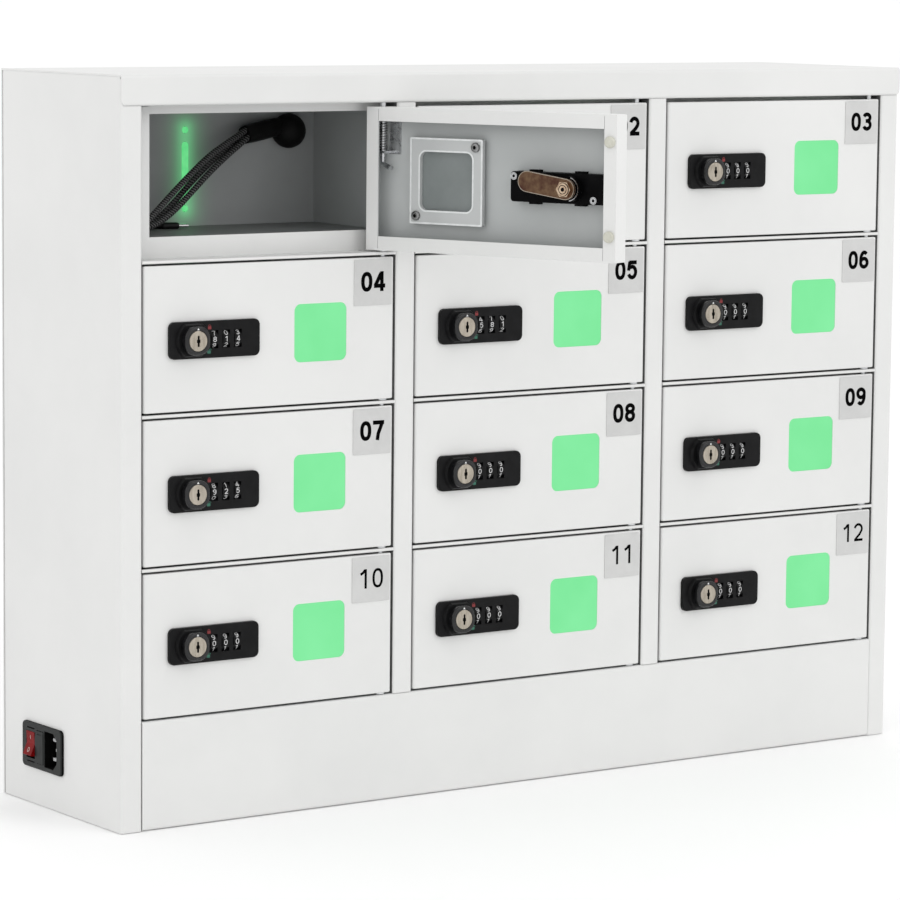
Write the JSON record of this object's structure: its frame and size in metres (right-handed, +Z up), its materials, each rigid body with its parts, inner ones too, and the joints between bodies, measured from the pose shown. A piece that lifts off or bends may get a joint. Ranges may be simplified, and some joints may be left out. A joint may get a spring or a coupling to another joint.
{
  "type": "cell phone locker box",
  "caption": "Wall or counter phone locker: a painted sheet-steel cabinet with rows of small numbered doors, combination locks, lit windows, charging leads and a mains inlet on its side.",
  "frame": {"origin": "centre of the base, on the surface the cabinet stands on", "axes": "+X to the right seen from the doors, -Y towards the doors, +Z up"},
  "size_m": [0.6552, 0.3312, 0.49],
  "materials": {
    "black_plastic": "fine texture",
    "board": "solder mask",
    "cabinet_paint": "satin powder coat",
    "cable_sleeve": "braided",
    "galvanised": "zinc plated",
    "lock_black": "satin moulded",
    "plug": "moulded",
    "red_plastic": "satin",
    "zinc": "chromated"
  },
  "bodies": {
    "cabinet": {"side_left": "cabinet_paint", "side_right": "cabinet_paint", "top_cover": "cabinet_paint", "back_panel": "cabinet_paint", "base_tray": "cabinet_paint", "shelf_trays": "cabinet_paint", "divider_posts": "cabinet_paint", "rear_liner": "cabinet_paint", "circuit_boards": "board", "cable_glands": "black_plastic", "power_supply": "galvanised", "power_inlet": "black_plastic", "cable_splitter": "black_plastic", "charge_cable_a": "cable_sleeve", "charge_cable_b": "cable_sleeve", "charge_cable_c": "cable_sleeve", "charge_plugs": "plug"},
    "rocker": {"rocker_switch": "red_plastic"},
    "fuse_holder": {"fuse_drawer": "black_plastic"},
    "door_01_leaf": {"door_01": "cabinet_paint", "window_01": "black_plastic", "lock_case_01": "lock_black", "hinge_spring_01": "galvanised"},
    "lock_knob_01": {"knob_01": "lock_black", "cam_01": "zinc"},
    "code_dials_01": {"dials_01": "lock_black"},
    "hinge_bolt": {"hinge_bolt_01": "galvanised"},
    "door_02_leaf": {"door_02": "cabinet_paint"},
    "lock_knob_02": {"knob_02": "lock_black"},
    "code_dials_02": {"dials_02": "lock_black"},
    "door_03_leaf": {"door_03": "cabinet_paint"},
    "lock_knob_03": {"knob_03": "lock_black"},
    "code_dials_03": {"dials_03": "lock_black"},
    "door_04_leaf": {"door_04": "cabinet_paint"},
    "lock_knob_04": {"knob_04": "lock_black"},
    "code_dials_04": {"dials_04": "lock_black"},
    "door_05_leaf": {"door_05": "cabinet_paint"},
    "lock_knob_05": {"knob_05": "lock_black"},
    "code_dials_05": {"dials_05": "lock_black"},
    "door_06_leaf": {"door_06": "cabinet_paint"},
    "lock_knob_06": {"knob_06": "lock_black"},
    "code_dials_06": {"dials_06": "lock_black"},
    "door_07_leaf": {"door_07": "cabinet_paint"},
    "lock_knob_07": {"knob_07": "lock_black"},
    "code_dials_07": {"dials_07": "lock_black"},
    "door_08_leaf": {"door_08": "cabinet_paint"},
    "lock_knob_08": {"knob_08": "lock_black"},
    "code_dials_08": {"dials_08": "lock_black"},
    "door_09_leaf": {"door_09": "cabinet_paint"},
    "lock_knob_09": {"knob_09": "lock_black"},
    "code_dials_09": {"dials_09": "lock_black"},
    "door_10_leaf": {"door_10": "cabinet_paint"},
    "lock_knob_10": {"knob_10": "lock_black"},
    "code_dials_10": {"dials_10": "lock_black"},
    "door_11_leaf": {"door_11": "cabinet_paint"},
    "lock_knob_11": {"knob_11": "lock_black"},
    "code_dials_11": {"dials_11": "lock_black"},
    "door_12_leaf": {"door_12": "cabinet_paint"},
    "lock_knob_12": {"knob_12": "lock_black"},
    "code_dials_12": {"dials_12": "lock_black"}
  },
  "joints": [
    {"name": "rocker_tip", "type": "hinge", "parent": "cabinet", "child": "rocker", "pos_m": [-0.323, 0.037, 0.0402], "axis": [0, -1, 0], "range_deg": [0, 20]},
    {"name": "fuse_drawer_slide", "type": "slide", "parent": "cabinet", "child": "fuse_holder", "axis": [-1, 0, 0], "range_m": [0, 0.012]},
    {"name": "door_01_hinge", "type": "hinge", "parent": "cabinet", "child": "door_01_leaf", "pos_m": [-0.12163, -0.0743, 0.4201], "axis": [0, 0, 1], "range_deg": [-112, 0]},
    {"name": "lock_knob_01_turn", "type": "hinge", "parent": "door_01_leaf", "child": "lock_knob_01", "pos_m": [-0.06042, -0.21326, 0.4188], "axis": [-0.9272, -0.3746, 0], "range_deg": [-172, 0]},
    {"name": "code_dials_01_turn", "type": "hinge", "parent": "door_01_leaf", "child": "code_dials_01", "pos_m": [-0.07285, -0.19077, 0.4188], "axis": [-0.3746, 0.9272, 0], "continuous": true},
    {"name": "hinge_bolt_01_slide", "type": "slide", "parent": "door_01_leaf", "child": "hinge_bolt", "axis": [0, 0, -1], "range_m": [0, 0.006], "stiffness_N_per_m": 300, "springref_m": -0.004, "deforming": ["hinge_spring_01"]},
    {"name": "door_02_hinge", "type": "hinge", "parent": "cabinet", "child": "door_02_leaf", "pos_m": [0.08953, -0.0743, 0.4201], "axis": [0, 0, 1], "range_deg": [0, 112]},
    {"name": "lock_knob_02_turn", "type": "hinge", "parent": "door_02_leaf", "child": "lock_knob_02", "pos_m": [-0.06223, -0.079, 0.4188], "axis": [0, 1, 0], "range_deg": [-172, 0]},
    {"name": "code_dials_02_turn", "type": "hinge", "parent": "door_02_leaf", "child": "code_dials_02", "pos_m": [-0.03673, -0.0759, 0.4188], "axis": [1, 0, 0], "continuous": true},
    {"name": "door_03_hinge", "type": "hinge", "parent": "cabinet", "child": "door_03_leaf", "pos_m": [0.3007, -0.0743, 0.4201], "axis": [0, 0, 1], "range_deg": [0, 112]},
    {"name": "lock_knob_03_turn", "type": "hinge", "parent": "door_03_leaf", "child": "lock_knob_03", "pos_m": [0.14893, -0.079, 0.4188], "axis": [0, 1, 0], "range_deg": [-172, 0]},
    {"name": "code_dials_03_turn", "type": "hinge", "parent": "door_03_leaf", "child": "code_dials_03", "pos_m": [0.17443, -0.0759, 0.4188], "axis": [1, 0, 0], "continuous": true},
    {"name": "door_04_hinge", "type": "hinge", "parent": "cabinet", "child": "door_04_leaf", "pos_m": [-0.12163, -0.0743, 0.3204], "axis": [0, 0, 1], "range_deg": [0, 112]},
    {"name": "lock_knob_04_turn", "type": "hinge", "parent": "door_04_leaf", "child": "lock_knob_04", "pos_m": [-0.2734, -0.079, 0.3191], "axis": [0, 1, 0], "range_deg": [-172, 0]},
    {"name": "code_dials_04_turn", "type": "hinge", "parent": "door_04_leaf", "child": "code_dials_04", "pos_m": [-0.2479, -0.0759, 0.3191], "axis": [1, 0, 0], "continuous": true},
    {"name": "door_05_hinge", "type": "hinge", "parent": "cabinet", "child": "door_05_leaf", "pos_m": [0.08953, -0.0743, 0.3204], "axis": [0, 0, 1], "range_deg": [0, 112]},
    {"name": "lock_knob_05_turn", "type": "hinge", "parent": "door_05_leaf", "child": "lock_knob_05", "pos_m": [-0.06223, -0.079, 0.3191], "axis": [0, 1, 0], "range_deg": [-172, 0]},
    {"name": "code_dials_05_turn", "type": "hinge", "parent": "door_05_leaf", "child": "code_dials_05", "pos_m": [-0.03673, -0.0759, 0.3191], "axis": [1, 0, 0], "continuous": true},
    {"name": "door_06_hinge", "type": "hinge", "parent": "cabinet", "child": "door_06_leaf", "pos_m": [0.3007, -0.0743, 0.3204], "axis": [0, 0, 1], "range_deg": [0, 112]},
    {"name": "lock_knob_06_turn", "type": "hinge", "parent": "door_06_leaf", "child": "lock_knob_06", "pos_m": [0.14893, -0.079, 0.3191], "axis": [0, 1, 0], "range_deg": [-172, 0]},
    {"name": "code_dials_06_turn", "type": "hinge", "parent": "door_06_leaf", "child": "code_dials_06", "pos_m": [0.17443, -0.0759, 0.3191], "axis": [1, 0, 0], "continuous": true},
    {"name": "door_07_hinge", "type": "hinge", "parent": "cabinet", "child": "door_07_leaf", "pos_m": [-0.12163, -0.0743, 0.2207], "axis": [0, 0, 1], "range_deg": [0, 112]},
    {"name": "lock_knob_07_turn", "type": "hinge", "parent": "door_07_leaf", "child": "lock_knob_07", "pos_m": [-0.2734, -0.079, 0.2194], "axis": [0, 1, 0], "range_deg": [-172, 0]},
    {"name": "code_dials_07_turn", "type": "hinge", "parent": "door_07_leaf", "child": "code_dials_07", "pos_m": [-0.2479, -0.0759, 0.2194], "axis": [1, 0, 0], "continuous": true},
    {"name": "door_08_hinge", "type": "hinge", "parent": "cabinet", "child": "door_08_leaf", "pos_m": [0.08953, -0.0743, 0.2207], "axis": [0, 0, 1], "range_deg": [0, 112]},
    {"name": "lock_knob_08_turn", "type": "hinge", "parent": "door_08_leaf", "child": "lock_knob_08", "pos_m": [-0.06223, -0.079, 0.2194], "axis": [0, 1, 0], "range_deg": [-172, 0]},
    {"name": "code_dials_08_turn", "type": "hinge", "parent": "door_08_leaf", "child": "code_dials_08", "pos_m": [-0.03673, -0.0759, 0.2194], "axis": [1, 0, 0], "continuous": true},
    {"name": "door_09_hinge", "type": "hinge", "parent": "cabinet", "child": "door_09_leaf", "pos_m": [0.3007, -0.0743, 0.2207], "axis": [0, 0, 1], "range_deg": [0, 112]},
    {"name": "lock_knob_09_turn", "type": "hinge", "parent": "door_09_leaf", "child": "lock_knob_09", "pos_m": [0.14893, -0.079, 0.2194], "axis": [0, 1, 0], "range_deg": [-172, 0]},
    {"name": "code_dials_09_turn", "type": "hinge", "parent": "door_09_leaf", "child": "code_dials_09", "pos_m": [0.17443, -0.0759, 0.2194], "axis": [1, 0, 0], "continuous": true},
    {"name": "door_10_hinge", "type": "hinge", "parent": "cabinet", "child": "door_10_leaf", "pos_m": [-0.12163, -0.0743, 0.121], "axis": [0, 0, 1], "range_deg": [0, 112]},
    {"name": "lock_knob_10_turn", "type": "hinge", "parent": "door_10_leaf", "child": "lock_knob_10", "pos_m": [-0.2734, -0.079, 0.1197], "axis": [0, 1, 0], "range_deg": [-172, 0]},
    {"name": "code_dials_10_turn", "type": "hinge", "parent": "door_10_leaf", "child": "code_dials_10", "pos_m": [-0.2479, -0.0759, 0.1197], "axis": [1, 0, 0], "continuous": true},
    {"name": "door_11_hinge", "type": "hinge", "parent": "cabinet", "child": "door_11_leaf", "pos_m": [0.08953, -0.0743, 0.121], "axis": [0, 0, 1], "range_deg": [0, 112]},
    {"name": "lock_knob_11_turn", "type": "hinge", "parent": "door_11_leaf", "child": "lock_knob_11", "pos_m": [-0.06223, -0.079, 0.1197], "axis": [0, 1, 0], "range_deg": [-172, 0]},
    {"name": "code_dials_11_turn", "type": "hinge", "parent": "door_11_leaf", "child": "code_dials_11", "pos_m": [-0.03673, -0.0759, 0.1197], "axis": [1, 0, 0], "continuous": true},
    {"name": "door_12_hinge", "type": "hinge", "parent": "cabinet", "child": "door_12_leaf", "pos_m": [0.3007, -0.0743, 0.121], "axis": [0, 0, 1], "range_deg": [0, 112]},
    {"name": "lock_knob_12_turn", "type": "hinge", "parent": "door_12_leaf", "child": "lock_knob_12", "pos_m": [0.14893, -0.079, 0.1197], "axis": [0, 1, 0], "range_deg": [-172, 0]},
    {"name": "code_dials_12_turn", "type": "hinge", "parent": "door_12_leaf", "child": "code_dials_12", "pos_m": [0.17443, -0.0759, 0.1197], "axis": [1, 0, 0], "continuous": true}
  ]
}
